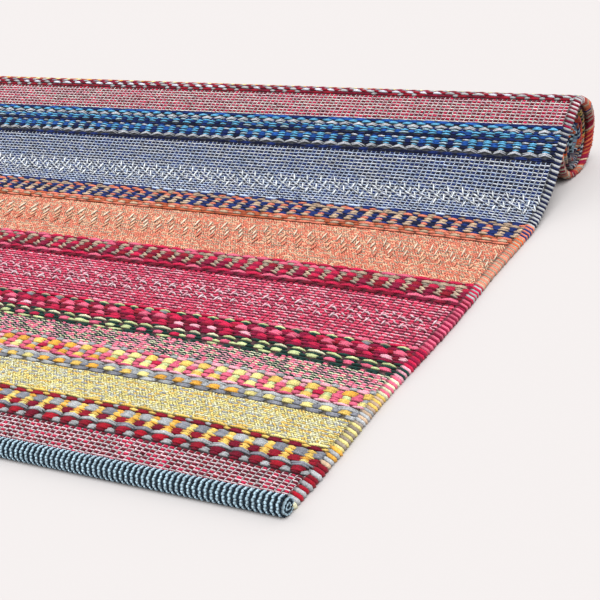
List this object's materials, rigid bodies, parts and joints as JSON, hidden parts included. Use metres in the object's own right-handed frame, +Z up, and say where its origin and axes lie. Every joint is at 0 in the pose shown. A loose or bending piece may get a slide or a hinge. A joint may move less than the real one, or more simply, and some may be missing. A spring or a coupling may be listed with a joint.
{
  "type": "dhurrie",
  "caption": "Flat-woven cotton dhurrie lying face up with its far part rolled under itself, with bands of diamonds and blocks between plain stripes.",
  "frame": {"origin": "on the floor, below the middle of the rug's outer box", "axes": "+X to the right selvedge, +Y from the near hem to the roll, +Z up from the floor"},
  "size_m": [0.7584, 0.7074, 0.08],
  "materials": {
    "cotton_weave": "matt woven cotton yarn in many colours"
  },
  "bodies": {
    "root": {"dhurrie": "cotton_weave"}
  },
  "joints": []
}
